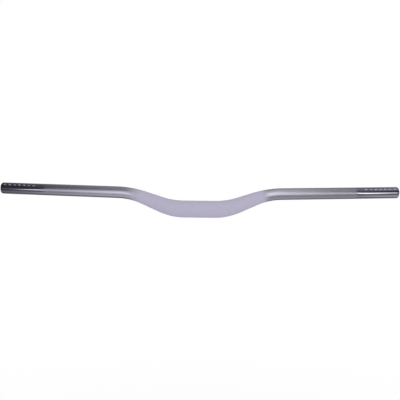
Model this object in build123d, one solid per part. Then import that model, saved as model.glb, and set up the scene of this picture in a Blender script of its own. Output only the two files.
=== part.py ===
from build123d import *
import os
from math import cos, radians, sin, sqrt, tan

# Driving sizes of the bar, in millimetres and degrees
bar_width = 780.0  # across the outermost rims of the two tips
clamp_diameter = 31.8  # held by the stem
clamp_length = 50.0  # true cylinder in the middle, as wide as a stem needs
clamp_lead = 3.0  # straight run from that cylinder to the lower bend
grip_diameter = 22.2  # held by the grips and levers
grip_lead = 3.0  # straight run from the upper bend to the grip cylinder

# Bends: the tube climbs from the lower corner to the upper one, then runs out to the tip
rise = 30.0  # upper corner above the clamp axis
bend_spacing = 78.0  # lower corner to upper corner, along the clamp axis
rise_backsweep = 5.0  # the climb leans back by this much
backsweep = 9.0  # the arm leans back by this much
upsweep = 2.0  # the arm climbs by this much
lower_bend_radius = 120.0  # on the tube's centre line
upper_bend_radius = 160.0

# Taper: clamp size down to grip size, running through both bends
taper_length = 118.0  # along the centre line, from the start of the lower bend
taper_ease = 0.25  # share of the taper that eases it in, and again out

# Butted wall: thick under the stem, thinner in the arms
clamp_wall = 2.4
grip_wall = 2.0

# Cut ends
tip_edge_radius = 0.6  # outer edge, rounded so that a grip slides on
bore_edge_chamfer = 0.4  # inner edge, deburred

# Spacing of the sections that carry the tapered skin
section_spacing = 3.5


def centre_line():
    """Centre line of the right half, from the middle of the clamp to the tip."""
    climb = Vector(bend_spacing, bend_spacing * tan(radians(rise_backsweep)), rise)
    arm = Vector(
        cos(radians(upsweep)) * cos(radians(backsweep)),
        cos(radians(upsweep)) * sin(radians(backsweep)),
        sin(radians(upsweep)),
    )
    half_turn = radians(Vector(1, 0, 0).get_angle(climb)) / 2
    lower_corner = Vector(clamp_length / 2 + clamp_lead + lower_bend_radius * tan(half_turn), 0, 0)
    upper_corner = lower_corner + climb
    rim_overhang = grip_diameter / 2 * sqrt(1 - arm.X**2)
    reach = (bar_width / 2 - rim_overhang - upper_corner.X) / arm.X
    tip = upper_corner + arm * reach
    return FilletPolyline(
        (0, 0, 0), lower_corner, upper_corner, tip, radius=[lower_bend_radius, upper_bend_radius]
    )


def taper_share(distance):
    """0 at the clamp size, 1 at the grip size: a straight cone with eased ends."""
    k = (distance - clamp_length / 2 - clamp_lead) / taper_length
    k = min(max(k, 0), 1)
    slope = 1 / (1 - taper_ease)
    if k < taper_ease:
        return slope * k**2 / (2 * taper_ease)
    if k > 1 - taper_ease:
        return 1 - slope * (1 - k) ** 2 / (2 * taper_ease)
    return slope * (k - taper_ease / 2)


def outer_radius(distance):
    """Radius of the outer skin at a distance along the centre line."""
    return (clamp_diameter + (grip_diameter - clamp_diameter) * taper_share(distance)) / 2


def bore_radius(distance):
    """Radius of the bore: the outer skin less the butted wall."""
    wall = clamp_wall + (grip_wall - clamp_wall) * taper_share(distance)
    return outer_radius(distance) - wall


def section(line, distance, radius_at):
    """A disc across the tube, its start point always on the same side."""
    along = line.tangent_at(distance, PositionMode.LENGTH)
    across = Vector(0, 0, 1).cross(along)
    at = Plane(line.position_at(distance, PositionMode.LENGTH), x_dir=across, z_dir=along)
    return at * Circle(radius_at(distance))


def tapered_skin(line, start, end, radius_at):
    """The bent and tapered stretch, carried by closely set sections."""
    count = max(round((end - start) / section_spacing), 4)
    stations = [start + (end - start) * i / count for i in range(count + 1)]
    return loft([section(line, s, radius_at) for s in stations])


def filled_bar(radius_at):
    """The whole bar as a filled body of the given radius: clamp, two bent tapers, two arms."""
    line = centre_line()
    arm_edge = line.edges().sort_by_distance((0, 0, 0))[-1]
    taper_start = clamp_length / 2
    taper_end = line.length - arm_edge.length + grip_lead
    taper_end = max(taper_end, clamp_length / 2 + clamp_lead + taper_length)
    clamp = extrude(Plane.YZ * Circle(radius_at(0)), amount=clamp_length / 2, both=True)
    taper = tapered_skin(line, taper_start, taper_end, radius_at)
    arm = extrude(section(line, taper_end, radius_at), amount=line.length - taper_end)
    half = taper + arm
    return clamp + half + mirror(half, about=Plane.YZ)


def finish_tips(bar):
    """Round the outer edge of each cut end and deburr the inner one."""
    ends = bar.faces().filter_by(GeomType.PLANE)
    bar = fillet([e for end in ends for e in end.outer_wire().edges()], tip_edge_radius)
    ends = bar.faces().filter_by(GeomType.PLANE)
    return chamfer([e for end in ends for e in end.inner_wires().edges()], bore_edge_chamfer)


handlebar = finish_tips(filled_bar(outer_radius) - filled_bar(bore_radius))

os.makedirs("parts", exist_ok=True)
export_step(handlebar, "parts/handlebar.step")
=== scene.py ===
from math import atan2, cos, degrees, pi, radians, sin, sqrt, tan
import bmesh
import bpy
from mathutils import Matrix, Vector


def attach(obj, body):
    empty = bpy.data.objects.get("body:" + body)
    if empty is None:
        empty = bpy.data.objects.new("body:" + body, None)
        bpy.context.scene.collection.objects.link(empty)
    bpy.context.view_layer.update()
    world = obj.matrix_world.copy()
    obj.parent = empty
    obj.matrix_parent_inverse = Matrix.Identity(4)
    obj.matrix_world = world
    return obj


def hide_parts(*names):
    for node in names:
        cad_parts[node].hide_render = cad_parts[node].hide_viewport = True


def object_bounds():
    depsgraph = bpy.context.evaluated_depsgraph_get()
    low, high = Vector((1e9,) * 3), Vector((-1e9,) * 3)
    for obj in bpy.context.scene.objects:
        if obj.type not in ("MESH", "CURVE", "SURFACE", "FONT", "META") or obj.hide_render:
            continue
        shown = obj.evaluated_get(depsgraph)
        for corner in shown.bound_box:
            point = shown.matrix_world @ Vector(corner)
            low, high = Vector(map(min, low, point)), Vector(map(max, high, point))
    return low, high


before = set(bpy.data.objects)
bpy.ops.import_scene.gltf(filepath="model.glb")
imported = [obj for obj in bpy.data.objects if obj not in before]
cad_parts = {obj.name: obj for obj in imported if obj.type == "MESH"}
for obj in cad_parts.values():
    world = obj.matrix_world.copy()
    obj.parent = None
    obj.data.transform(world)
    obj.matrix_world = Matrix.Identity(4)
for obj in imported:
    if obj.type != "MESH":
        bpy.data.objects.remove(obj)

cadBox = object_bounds()
scene = bpy.context.scene
scene.view_settings.view_transform = "Standard"
mmPerMetre = 1000
cadWidth = (cadBox[1] - cadBox[0]).x * mmPerMetre
print("frame loaded,", *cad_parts, "is", round(cadWidth, 1), "mm wide")


# shader maths: a socket that takes plain arithmetic
class Wire:
    def __init__(self, tree, socket=None):
        self.tree = tree
        self.socket = socket

    def make(self, kind, settings=None, sockets=None, out=0):
        node = self.tree.nodes.new(kind)
        for name, value in (settings or {}).items():
            setattr(node, name, value)
        for name, value in (sockets or {}).items():
            if isinstance(value, Wire):
                self.tree.links.new(value.socket, node.inputs[name])
            else:
                node.inputs[name].default_value = value
        return Wire(self.tree, node.outputs[out] if len(node.outputs) else None)

    def maths(self, operation, first, second=0.0):
        return self.make("ShaderNodeMath", {"operation": operation}, {0: first, 1: second})

    def __add__(self, other):
        return self.maths("ADD", self, other)

    def __radd__(self, other):
        return self.maths("ADD", other, self)

    def __sub__(self, other):
        return self.maths("SUBTRACT", self, other)

    def __rsub__(self, other):
        return self.maths("SUBTRACT", other, self)

    def __mul__(self, other):
        return self.maths("MULTIPLY", self, other)

    def __rmul__(self, other):
        return self.maths("MULTIPLY", other, self)

    def __neg__(self):
        return self.maths("MULTIPLY", self, -1.0)

    def __abs__(self):
        return self.maths("ABSOLUTE", self)


def ease(value, low, high):
    # 0 below low, 1 above high, smooth between
    return value.make(
        "ShaderNodeMapRange",
        {"interpolation_type": "SMOOTHSTEP"},
        {"Value": value, "From Min": low, "From Max": high},
    )


def vary(grade, pattern):
    # half the swing below the middle to half the swing above it
    middle, swing = grade
    return middle + swing * (pattern - 0.5)


def noise(wire, spot, grade):
    return wire.make("ShaderNodeTexNoise", {}, {"Vector": spot, **grade})


def bumps(wire, height, grade):
    return wire.make("ShaderNodeBump", {}, {"Height": height, **grade})


def mixColours(share, first, second):
    # on a Mix node input 0 is the share, 6 and 7 are the colours, and output 2 is their mix
    return share.make("ShaderNodeMix", {"data_type": "RGBA"}, {0: share, 6: first, 7: second}, out=2)


def vectorMaths(wire, operation, sockets, out="Vector"):
    return wire.make("ShaderNodeVectorMath", {"operation": operation}, sockets, out=out)


def newMaterial(name):
    mat = bpy.data.materials.new(name)
    mat.use_nodes = True
    mat.node_tree.nodes.clear()
    return mat, Wire(mat.node_tree)


def plugIn(wire, shader):
    wire.make("ShaderNodeOutputMaterial", {}, {"Surface": shader})


def plugInMetal(wire, sockets):
    plugIn(wire, wire.make("ShaderNodeBsdfPrincipled", {}, sockets))


def toObject(bm, name):
    mesh = bpy.data.meshes.new(name)
    bm.to_mesh(mesh)
    bm.free()
    made = bpy.data.objects.new(name, mesh)
    scene.collection.objects.link(made)
    return made


# the tube, in metres and degrees
bar = {
    "width": 0.780,
    "clampRadius": 0.0159,
    "gripRadius": 0.0111,
    "clampHalf": 0.028,  # straight run each side of the middle
    "rise": 0.030,
    "bendSpacing": 0.078,
    "climbSweep": 5,
    "armSweep": 9,
    "armSlope": 2,
    "lowerBend": 0.120,
    "upperBend": 0.160,
    "taperLength": 0.118,
    "taperEase": 0.25,  # share of the taper that each eased end takes
    "clampWall": 0.0024,
    "gripWall": 0.0020,
    "tipEdge": 0.0006,  # rounded
    "tipSegments": 5,
    "boreEdge": 0.0004,  # chamfered
    "boreSegments": 1,
    "endBand": 0.00066,  # how far back from the tip the cut end's finish goes
    "around": 96,  # faces round the tube
    "steps": (7, 26, 14, 28, 40),  # rings along the clamp, bend, climb, bend and arm
    "seam": 0.00001,  # the halves join where points lie nearer than this
    "sharpAngle": 35,
}


def armHeading():
    slope, sweep = radians(bar["armSlope"]), radians(bar["armSweep"])
    return Vector((cos(slope) * cos(sweep), cos(slope) * sin(sweep), sin(slope)))


def routeLegs():
    # straight runs and bends of the right half, from the middle out
    clamp = Vector((1, 0, 0))
    across = bar["bendSpacing"]
    climb = Vector((across, across * tan(radians(bar["climbSweep"])), bar["rise"]))
    arm = armHeading()
    lowerTurn, upperTurn = clamp.angle(climb), climb.angle(arm)
    lowerTrim = bar["lowerBend"] * tan(lowerTurn / 2)
    upperTrim = bar["upperBend"] * tan(upperTurn / 2)
    upperCorner = Vector((bar["clampHalf"] + lowerTrim, 0, 0)) + climb
    rim = bar["gripRadius"] * sqrt(1 - arm.x**2)
    armRun = (bar["width"] / 2 - rim - upperCorner.x) / arm.x - upperTrim
    legs = [
        {"run": clamp * bar["clampHalf"]},
        {"turn": lowerTurn, "axis": clamp.cross(climb).normalized(), "bend": bar["lowerBend"]},
        {"run": climb.normalized() * (climb.length - lowerTrim - upperTrim)},
        {"turn": upperTurn, "axis": climb.cross(arm).normalized(), "bend": bar["upperBend"]},
        {"run": arm * armRun},
    ]
    for leg, steps in zip(legs, bar["steps"]):
        leg["steps"] = steps
    return legs


def taperShare(travel):
    # straight cone with eased ends
    k = min(max((travel - bar["clampHalf"]) / bar["taperLength"], 0), 1)
    q = bar["taperEase"]
    if k < q:
        return k**2 / (2 * q * (1 - q))
    if k > 1 - q:
        return 1 - (1 - k) ** 2 / (2 * q * (1 - q))
    return (k - q / 2) / (1 - q)


def skinRadius(travel):
    return bar["clampRadius"] + (bar["gripRadius"] - bar["clampRadius"]) * taperShare(travel)


def boreRadius(travel):
    wall = bar["clampWall"] + (bar["gripWall"] - bar["clampWall"]) * taperShare(travel)
    return skinRadius(travel) - wall


def growRing(bm, walk, radius, move=None, turn=0.0, axis=None, pivot=None):
    # extrude the open ring, carry it along, and give it its new radius
    grown = bmesh.ops.extrude_edge_only(bm, edges=walk["edges"])["geom"]
    verts = [g for g in grown if isinstance(g, bmesh.types.BMVert)]
    edges = [g for g in grown if isinstance(g, bmesh.types.BMEdge)]
    fresh = set(verts)
    walk["edges"] = [e for e in edges if fresh.issuperset(e.verts)]
    if move is not None:
        bmesh.ops.translate(bm, vec=move, verts=verts)
        walk["centre"] = walk["centre"] + move
    if axis is not None:
        spun = Matrix.Rotation(turn, 3, axis)
        bmesh.ops.rotate(bm, cent=pivot, matrix=spun, verts=verts)
        walk["centre"] = pivot + spun @ (walk["centre"] - pivot)
        walk["heading"] = spun @ walk["heading"]
    k = radius / walk["radius"]
    bmesh.ops.scale(bm, vec=(k, k, k), space=Matrix.Translation(-walk["centre"]), verts=verts)
    walk["radius"] = radius
    for v in verts:  # the same point on the tube before it was bent
        was = v[walk["layer"]]
        v[walk["layer"]] = (walk["travel"], was.y * k, was.z * k)


def walkLeg(bm, walk, leg, radiusAt, way):
    steps = leg["steps"]
    if "run" in leg:
        length = leg["run"].length / steps
        for _ in range(steps):
            walk["travel"] += way * length
            growRing(bm, walk, radiusAt(walk["travel"]), move=leg["run"] * (way / steps))
        return
    if "pivot" not in leg:  # the way back along the bore turns about the same point
        leg["pivot"] = walk["centre"] + leg["axis"].cross(walk["heading"]) * leg["bend"]
    for _ in range(steps):
        walk["travel"] += way * leg["bend"] * leg["turn"] / steps
        turn = way * leg["turn"] / steps
        growRing(bm, walk, radiusAt(walk["travel"]), turn=turn, axis=leg["axis"], pivot=leg["pivot"])


def sortFaces(bm, layer, tip):
    # material 1 for the cut end and its edges, 2 for the bore
    outward = armHeading()
    for face in bm.faces:
        fromTip = max((tip - v.co).dot(outward) for v in face.verts)
        flat = face.verts[0][layer]
        if fromTip < bar["endBand"]:
            face.material_index = 1
        elif sqrt(flat.y**2 + flat.z**2) < skinRadius(flat.x) - bar["gripWall"] / 2:
            face.material_index = 2


def buildTube():
    bm = bmesh.new()
    layer = bm.verts.layers.float_vector.new("unbent")
    ring = bmesh.ops.create_circle(bm, segments=bar["around"], radius=bar["clampRadius"])["verts"]
    bmesh.ops.rotate(bm, cent=(0, 0, 0), matrix=Matrix.Rotation(pi / 2, 3, "Y"), verts=ring)
    for v in ring:
        v[layer] = v.co
    walk = {
        "edges": list(bm.edges),
        "centre": Vector((0, 0, 0)),
        "heading": Vector((1, 0, 0)),
        "travel": 0.0,
        "radius": bar["clampRadius"],
        "layer": layer,
    }
    legs = routeLegs()
    for leg in legs:
        walkLeg(bm, walk, leg, skinRadius, 1)
    outerRim = list(walk["edges"])
    tip = walk["centre"].copy()
    growRing(bm, walk, boreRadius(walk["travel"]))  # the cut end
    innerRim = list(walk["edges"])
    for leg in reversed(legs):
        walkLeg(bm, walk, leg, boreRadius, -1)
    rims = (
        (outerRim, bar["tipEdge"], bar["tipSegments"]),
        (innerRim, bar["boreEdge"], bar["boreSegments"]),
    )
    for rim, offset, segments in rims:
        bmesh.ops.bevel(
            bm, geom=rim, offset=offset, affect="EDGES", segments=segments, profile=0.5, material=-1
        )
    sortFaces(bm, layer, tip)
    whole = bm.verts[:] + bm.edges[:] + bm.faces[:]
    bmesh.ops.mirror(bm, geom=whole, axis="X", merge_dist=bar["seam"])
    bmesh.ops.recalc_face_normals(bm, faces=bm.faces)
    for v in bm.verts:
        if v.co.x < 0:
            flat = v[layer]
            v[layer] = (-abs(flat.x), flat.y, flat.z)
    tube = toObject(bm, "handlebarTube")
    tube.data.shade_smooth()
    tube.data.set_sharp_from_angle(angle=radians(bar["sharpAngle"]))
    return tube, tip


# one alloy, three finishes on the skin: peened middle, satin arms, polished ends
alloy = {
    "peenedColour": (0.470, 0.442, 0.566, 1),
    "satinInner": (0.338, 0.328, 0.388, 1),  # next to the peened middle
    "satinOuter": (0.257, 0.249, 0.295, 1),  # next to the polished ends, darker: partly the finish, partly painted shade where the light falls off along the arm
    "satinSpan": (0.13, 0.31),
    "polishedColour": (0.208, 0.199, 0.262, 1),
    "peenedRight": (0.119, 0.136),  # fades out over this stretch
    "peenedLeft": (0.111, 0.147),
    "polishedRight": (0.303, 0.314),
    "polishedLeft": (0.296, 0.314),
    "peenedRough": (0.78, 0.08),  # middle and swing
    "satinRough": (0.34, 0.04),
    "polishedRough": (0.07, 0.02),
    "peenedMetal": 0.1,
    "specular": 0.25,
    "cast": {"Scale": 38.0, "Detail": 3.0},  # cloudy colour, about 25 mm
    "shot": {"Scale": 1400.0, "Detail": 2.0},  # peening dents, about 0.7 mm
    "grain": {"Scale": 1.0, "Detail": 3.0},
    "grainStretch": (160, 5200, 5200),  # fine drawn lines along the arms
    "toneFloor": 0.97,  # the patterns add the next two to it
    "castTone": 0.03,
    "fineTone": 0.03,
    "grainHeight": 0.1,  # against the peening dents
    "bump": {"Strength": 0.3, "Distance": 0.00003},
}


def alloyFinish():
    mat, w = newMaterial("anodisedAlloy")
    unbent = w.make("ShaderNodeAttribute", {"attribute_name": "unbent"}, out="Vector")
    travel = w.make("ShaderNodeSeparateXYZ", {}, {"Vector": unbent})
    peened = (1 - ease(travel, *alloy["peenedRight"])) * (1 - ease(-travel, *alloy["peenedLeft"]))
    polished = ease(travel, *alloy["polishedRight"]) + ease(-travel, *alloy["polishedLeft"])
    satin = (1 - peened) * (1 - polished)
    cast = noise(w, unbent, alloy["cast"])
    shot = noise(w, unbent, alloy["shot"])
    drawn = w.make("ShaderNodeMapping", {}, {"Vector": unbent, "Scale": alloy["grainStretch"]})
    grain = noise(w, drawn, alloy["grain"])

    # the satin darkens from the middle outwards: partly its own tone, partly painted shade where the
    # light falls off along the arm
    outer = ease(abs(travel), *alloy["satinSpan"])
    satinColour = mixColours(outer, alloy["satinInner"], alloy["satinOuter"])
    arms = mixColours(polished, satinColour, alloy["polishedColour"])
    colour = mixColours(peened, arms, alloy["peenedColour"])
    fine = grain * satin + shot * peened
    tone = alloy["toneFloor"] + alloy["castTone"] * cast + alloy["fineTone"] * fine
    rough = (
        peened * vary(alloy["peenedRough"], shot)
        + satin * vary(alloy["satinRough"], grain)
        + polished * vary(alloy["polishedRough"], cast)
    )
    height = shot * peened + alloy["grainHeight"] * (grain * satin)
    plugInMetal(
        w,
        {
            "Base Color": vectorMaths(w, "SCALE", {0: colour, "Scale": tone}),
            "Metallic": 1 - (1 - alloy["peenedMetal"]) * peened,
            "Roughness": rough,
            "Specular IOR Level": alloy["specular"],
            "Normal": bumps(w, height, alloy["bump"]),
        },
    )
    return mat


# the cut ends, faced on a lathe before they were anodised
cutEnd = {
    "dark": (0.22, 0.215, 0.24, 1),
    "pale": (0.34, 0.33, 0.36, 1),
    "rings": {"Scale": 7000.0, "Detail": 2.0},
    "rough": (0.28, 0.1),
    "bump": {"Strength": 0.4, "Distance": 0.00003},
}


def turnedFinish(tip):
    mat, w = newMaterial("turnedEnd")
    spot = w.make("ShaderNodeTexCoord", out="Object")
    folded = vectorMaths(w, "ABSOLUTE", {0: spot})  # both tips as one
    reach = vectorMaths(w, "SUBTRACT", {0: folded, 1: tip})
    outward = armHeading()
    depth = vectorMaths(w, "DOT_PRODUCT", {0: reach, 1: outward}, out="Value")
    axial = vectorMaths(w, "SCALE", {0: outward, "Scale": depth})
    radial = vectorMaths(w, "SUBTRACT", {0: reach, 1: axial})
    radius = vectorMaths(w, "LENGTH", {0: radial}, out="Value")
    rings = w.make("ShaderNodeTexNoise", {"noise_dimensions": "1D"}, {"W": radius, **cutEnd["rings"]})
    plugInMetal(
        w,
        {
            "Base Color": mixColours(rings, cutEnd["dark"], cutEnd["pale"]),
            "Metallic": 1.0,
            "Roughness": vary(cutEnd["rough"], rings),
            "Normal": bumps(w, rings, cutEnd["bump"]),
        },
    )
    return mat


# the inside, as it was drawn over the mandrel
bore = {
    "dark": (0.34, 0.33, 0.36, 1),
    "pale": (0.52, 0.505, 0.54, 1),
    "lines": {"Scale": 1.0, "Detail": 4.0},
    "stretch": (30, 2600, 2600),
    "rough": (0.45, 0.12),
    "metal": 0.6,  # a dull oxide skin over bare alloy
    "bump": {"Strength": 0.35, "Distance": 0.00004},
}


def drawnFinish():
    mat, w = newMaterial("drawnBore")
    unbent = w.make("ShaderNodeAttribute", {"attribute_name": "unbent"}, out="Vector")
    stretched = w.make("ShaderNodeMapping", {}, {"Vector": unbent, "Scale": bore["stretch"]})
    lines = noise(w, stretched, bore["lines"])
    plugInMetal(
        w,
        {
            "Base Color": mixColours(lines, bore["dark"], bore["pale"]),
            "Metallic": bore["metal"],
            "Roughness": vary(bore["rough"], lines),
            "Normal": bumps(w, lines, bore["bump"]),
        },
    )
    return mat


# trim scale near each tip: the width the bar has when it is cut there
trimScale = {
    "marks": 7,
    "spacing": 0.010,
    "outboard": 0.0013,  # each number stands a little outside its cut
    "textSize": 0.0033,
    "stroke": 0.00009,  # thickens the digits
    "curveSteps": 3,
    "angle": 34,  # above the front of the arm
    "lift": 0.00004,  # top face above the skin
    "depth": 0.00012,  # the rest is sunk into it
    "slice": 0.0003,
    "seam": 0.0000001,  # points nearer than this become one
    "dark": (0.54, 0.53, 0.575, 1),
    "pale": (0.76, 0.745, 0.79, 1),
    "frost": {"Scale": 2600.0, "Detail": 2.0},
    "rough": (0.52, 0.2),
    "metal": 0.8,
}


def etchedFinish():
    mat, w = newMaterial("etchedMark")
    spot = w.make("ShaderNodeTexCoord", out="Object")
    frost = noise(w, spot, trimScale["frost"])
    plugInMetal(
        w,
        {
            "Base Color": mixColours(frost, trimScale["dark"], trimScale["pale"]),
            "Metallic": trimScale["metal"],
            "Roughness": vary(trimScale["rough"], frost),
        },
    )
    return mat


def flatText(words):
    curve = bpy.data.curves.new("trimText", "FONT")
    curve.body = words
    curve.size = trimScale["textSize"]
    curve.align_x, curve.align_y = "CENTER", "CENTER"
    curve.offset = trimScale["stroke"]
    curve.resolution_u = trimScale["curveSteps"]
    holder = bpy.data.objects.new("trimText", curve)
    scene.collection.objects.link(holder)
    bpy.context.view_layer.update()
    depsgraph = bpy.context.evaluated_depsgraph_get()
    mesh = bpy.data.meshes.new_from_object(holder.evaluated_get(depsgraph))
    bpy.data.objects.remove(holder)
    bpy.data.curves.remove(curve)
    return mesh


def buildTrimScale(side, tip):
    # numbers laid round the arm, upright as seen from the front
    outward = armHeading()
    outward.x *= side
    end = tip.copy()
    end.x *= side
    reading = outward * side
    up = (Vector((0, 0, 1)) - outward * outward.z).normalized()
    front = reading.cross(up)
    radius = bar["gripRadius"] + trimScale["lift"]
    bm = bmesh.new()
    for mark in range(1, trimScale["marks"] + 1):
        inboard = trimScale["spacing"] * mark
        width = bar["width"] - 2 * inboard
        digits = flatText(str(round(width * mmPerMetre)))
        place = -side * (inboard - trimScale["outboard"])
        digits.transform(Matrix.Translation((place, 0, 0)))
        bm.from_mesh(digits)
        bpy.data.meshes.remove(digits)
    bmesh.ops.remove_doubles(bm, verts=bm.verts, dist=trimScale["seam"])
    reach = trimScale["textSize"] / 2
    cut = -reach
    while cut < reach:  # thin slices, so that the digits can follow the curve
        whole = bm.verts[:] + bm.edges[:] + bm.faces[:]
        bmesh.ops.bisect_plane(bm, geom=whole, plane_co=(0, cut, 0), plane_no=(0, 1, 0))
        cut += trimScale["slice"]
    for v in bm.verts:
        lean = radians(trimScale["angle"]) + v.co.y / bar["gripRadius"]
        v.co = end + reading * v.co.x + (front * cos(lean) + up * sin(lean)) * radius
    bmesh.ops.solidify(bm, geom=bm.faces[:], thickness=trimScale["depth"])
    bmesh.ops.recalc_face_normals(bm, faces=bm.faces)
    return toObject(bm, "trimScaleRight" if side > 0 else "trimScaleLeft")


tube, tip = buildTube()
for finish in (alloyFinish(), turnedFinish(tip), drawnFinish()):
    tube.data.materials.append(finish)
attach(tube, "root")
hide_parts("handlebar")
print("tube built,", len(tube.data.polygons), "faces, tip at", [round(c, 4) for c in tip])

etched = etchedFinish()
for side in (1, -1):
    piece = buildTrimScale(side, tip)
    piece.data.materials.append(etched)
    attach(piece, "root")
    print(piece.name, "laid,", len(piece.data.polygons), "faces")


# floor and world
studio = {
    "floorDrop": 0.90,
    "floorRadius": 8.0,
    "floorSides": 64,
    "floorColour": (0.92, 0.92, 0.92, 1),
    "floorShade": 0.12,  # how much of the shadow shows
    "shadeReach": (1.0, 3.0),  # where the floor fades to plain white
    "white": (1, 1, 1, 1),
    "ambient": 0.83,
}


def seenDirectly(w):
    # 1 for the camera and for mirror-like or clear surfaces
    rays = w.make("ShaderNodeLightPath").socket.node.outputs
    seen = Wire(w.tree, rays["Is Camera Ray"])
    for kind in ("Is Glossy Ray", "Is Transmission Ray"):
        seen = w.maths("MAXIMUM", seen, Wire(w.tree, rays[kind]))
    return seen


def buildFloor():
    bm = bmesh.new()
    bmesh.ops.create_circle(
        bm, cap_ends=True, segments=studio["floorSides"], radius=studio["floorRadius"]
    )
    bmesh.ops.translate(bm, vec=(0, 0, -studio["floorDrop"]), verts=bm.verts)
    floor = toObject(bm, "studioFloor")
    mat, w = newMaterial("floorWhite")
    spot = w.make("ShaderNodeTexCoord", out="Object")
    away = vectorMaths(w, "LENGTH", {0: spot}, out="Value")
    shade = studio["floorShade"] * (1 - ease(away, *studio["shadeReach"]))
    lit = w.make("ShaderNodeBsdfDiffuse", {}, {"Color": studio["floorColour"]})
    white = w.make("ShaderNodeEmission", {}, {"Color": studio["white"], "Strength": 1.0})
    plugIn(w, w.make("ShaderNodeMixShader", {}, {0: seenDirectly(w) * (1 - shade), 1: lit, 2: white}))
    floor.data.materials.append(mat)


def buildWorld():
    world = bpy.data.worlds.new("studioWorld")
    world.use_nodes = True
    world.node_tree.nodes.clear()
    w = Wire(world.node_tree)
    soft = w.make("ShaderNodeBackground", {}, {"Color": studio["white"], "Strength": studio["ambient"]})
    white = w.make("ShaderNodeBackground", {}, {"Color": studio["white"], "Strength": 1.0})
    sky = w.make("ShaderNodeMixShader", {}, {0: seenDirectly(w), 1: soft, 2: white})
    w.make("ShaderNodeOutputWorld", {}, {"Surface": sky})
    scene.world = world


# grey cloth hung round the bar, with soft strips of light on it, seen only in reflections
cloth = {
    "radius": 1.4,  # metres, front to back
    "flatten": 0.6,  # height against depth
    "half": 2.6,  # metres, from the middle to an end
    "columns": 260,
    "rows": 180,
    "middle": (0, 0.035, 0.035),
    "fullGlow": 40.0,  # how bright a painted 1 is
    "lampFrom": 3.0,  # brighter stretches are sampled like lamps, so that they leave less speckle
    # degrees up from the camera's side, and how bright the cloth is there, left and right
    "tones": [
        (-180, 1.20, 1.20),
        (-172, 1.00, 1.00),
        (-163, 0.20, 0.26),
        (-140, 0.20, 0.26),
        (-100, 0.62, 0.76),
        (-88, 1.30, 0.88),
        (-78, 1.32, 0.97),
        (-56, 0.78, 0.40),
        (-40, 0.47, 0.38),
        (-20, 0.40, 0.38),
        (-2, 0.22, 0.12),
        (38, 0.18, 0.14),
        (58, 0.24, 0.58),
        (80, 0.26, 0.70),
        (105, 0.26, 0.38),
        (150, 0.20, 0.30),
        (163, 0.20, 0.26),
        (172, 1.00, 1.00),
        (180, 1.20, 1.20),
    ],
    "blend": 0.4,  # metres either side of the middle, where left passes into right
    # metres out per metre away, and how much brighter it is there, left and right
    "overhead": [(0.55, 2.10, 1.80), (0.90, 1.00, 1.05), (1.04, 1.00, 1.00), (1.11, 1.00, 0.75)],
    "outwards": [(0.95, 1.00, 1.00), (1.02, 0.57, 1.60), (1.08, 0.57, 1.60), (1.19, 0.36, 1.45)],
    # metres out, degrees up, degrees of half height, brightness, warmth
    "rightStrip": [
        (0.50, 22, 21, 2.8, 0.00),
        (0.74, 2, 28, 2.1, 0.00),
        (0.90, -5, 25, 2.2, 0.00),
        (1.05, 5, 15, 1.9, 0.00),
        (1.16, 11, 9, 2.0, 0.00),
        (1.26, 12, 8, 1.3, 0.00),
        (1.265, -10, 9.5, 0.4, 0.20),
        (1.28, -10, 9.5, 6.2, 0.20),
        (1.32, -10, 9.5, 7.3, 0.20),
        (1.38, -10, 9.2, 5.9, 0.20),
        (1.44, -8.4, 8.6, 4.5, 0.20),
        (1.50, -6, 9, 3.2, 0.20),
        (1.75, -6, 8, 1.0, 0.20),
    ],
    "leftStrip": [
        (0.50, -6, 26, 2.0, 0.00),
        (0.80, -6, 24, 1.9, 0.00),
        (1.00, -11, 18, 2.35, 0.00),
        (1.20, -12, 14, 2.1, 0.00),
        (1.27, -14, 11, 1.8, 0.00),
        (1.32, -16, 7, 6.2, 0.00),
        (1.345, -16, 7, 4.9, 0.00),
        (1.37, -16, 7, 3.0, 0.00),
        (1.40, -16, 7, 0.8, 0.00),
        (1.43, -8, 9, 0.10, 0.00),
        (1.50, -8, 10, 0.22, 0.00),
    ],
    "stripReach": 1.85,  # half heights from a strip's middle to where its glow ends
}


def readOff(stations, place):
    # straight-line reading of a table, level past its ends
    if place <= stations[0][0]:
        return stations[0][1:]
    for low, high in zip(stations, stations[1:]):
        if place <= high[0]:
            k = (place - low[0]) / (high[0] - low[0])
            return [a + (b - a) * k for a, b in zip(low[1:], high[1:])]
    return stations[-1][1:]


def clothGlow(spot):
    # the cloth's own tone, and a bell of light about the strip's middle
    angle = degrees(atan2(spot.z, -spot.y))
    lean = abs(spot.x) / sqrt(spot.y**2 + spot.z**2)
    left, right = readOff(cloth["tones"], angle)
    gains = [readOff(cloth["outwards"], lean)]
    if angle > 0:
        gains.append(readOff(cloth["overhead"], lean))
    for leftGain, rightGain in gains:
        left, right = left * leftGain, right * rightGain
    tone = readOff([(-cloth["blend"], left), (cloth["blend"], right)], spot.x)[0]
    strip = cloth["rightStrip" if spot.x > 0 else "leftStrip"]
    height, half, level, warm = readOff(strip, abs(spot.x))
    off = min(abs(angle - height) / (cloth["stripReach"] * half), 1)
    shine = level * (1 - off**2) ** 2
    return (tone + shine, tone + shine, tone + shine * (1 - warm), 1)


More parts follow.
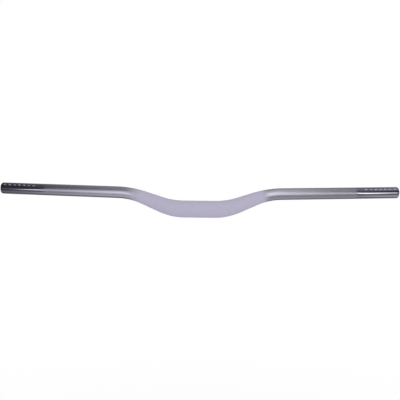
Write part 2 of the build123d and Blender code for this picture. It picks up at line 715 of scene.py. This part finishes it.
def buildCloth():
    bm = bmesh.new()
    ends = [bm.verts.new((side * cloth["half"], -cloth["radius"], 0)) for side in (-1, 1)]
    line = bm.edges.new(ends)
    bmesh.ops.subdivide_edges(bm, edges=[line], cuts=cloth["columns"] - 1)
    bmesh.ops.spin(
        bm,
        geom=bm.verts[:] + bm.edges[:],
        cent=(0, 0, 0),
        axis=(1, 0, 0),
        angle=2 * pi,
        steps=cloth["rows"],
        use_merge=True,
    )
    bmesh.ops.recalc_face_normals(bm, faces=bm.faces)
    bmesh.ops.scale(bm, vec=(1, 1, cloth["flatten"]), verts=bm.verts)
    glow = bm.verts.layers.float_color.new("glow")
    for v in bm.verts:
        v[glow] = [tone / cloth["fullGlow"] for tone in clothGlow(v.co)]
    for face in bm.faces:
        if max(v[glow][0] for v in face.verts) > cloth["lampFrom"] / cloth["fullGlow"]:
            face.material_index = 1
    bmesh.ops.translate(bm, vec=cloth["middle"], verts=bm.verts)
    tent = toObject(bm, "greyCloth")
    for name, sampling in (("greyCloth", "NONE"), ("litCloth", "FRONT_BACK")):
        mat, w = newMaterial(name)
        painted = w.make("ShaderNodeAttribute", {"attribute_name": "glow"}, out="Color")
        plugIn(w, w.make("ShaderNodeEmission", {}, {"Color": painted, "Strength": cloth["fullGlow"]}))
        mat.cycles.emission_sampling = sampling
        tent.data.materials.append(mat)
    for ray in ("visible_camera", "visible_diffuse", "visible_shadow", "visible_transmission"):
        setattr(tent, ray, False)


# soft lamps for the matte middle, left out of reflections, which show the cloth
lamps = {
    "frontSoft": {"spot": (0.3, -1.7, -0.15), "size": (2.4, 1.2), "glow": 0.7},
    "topSoft": {"spot": (-0.3, -0.4, 1.9), "size": (1.6, 1.0), "glow": 0.3},
}


def buildLamps():
    for name, lamp in lamps.items():
        data = bpy.data.lights.new(name, "AREA")
        data.shape = "RECTANGLE"
        data.size, data.size_y = lamp["size"]
        data.energy = lamp["glow"] * pi * data.size * data.size_y  # glow is the lamp's radiance
        holder = bpy.data.objects.new(name, data)
        holder.location = lamp["spot"]
        holder.rotation_euler = Vector(lamp["spot"]).to_track_quat("Z", "Y").to_euler()
        holder.visible_camera = holder.visible_glossy = False
        scene.collection.objects.link(holder)


# camera fitted to the photograph's outline: metres, degrees, and millimetres of lens and sensor
view = {
    "spot": (0.00334, -0.89524, -0.03519),
    "turn": (93.352, -0.689, 0.113),
    "lens": 43.088,
    "sensor": 36,
    "near": 0.01,
    "far": 60,
}


def buildCamera():
    data = bpy.data.cameras.new("photoCamera")
    data.lens = view["lens"]
    data.sensor_width = view["sensor"]
    data.clip_start, data.clip_end = view["near"], view["far"]
    holder = bpy.data.objects.new("photoCamera", data)
    holder.location = view["spot"]
    holder.rotation_euler = [radians(t) for t in view["turn"]]
    scene.collection.objects.link(holder)
    scene.camera = holder


buildFloor()
buildWorld()
buildCloth()
buildLamps()
buildCamera()
print("studio set, with", len(lamps), "lamps")
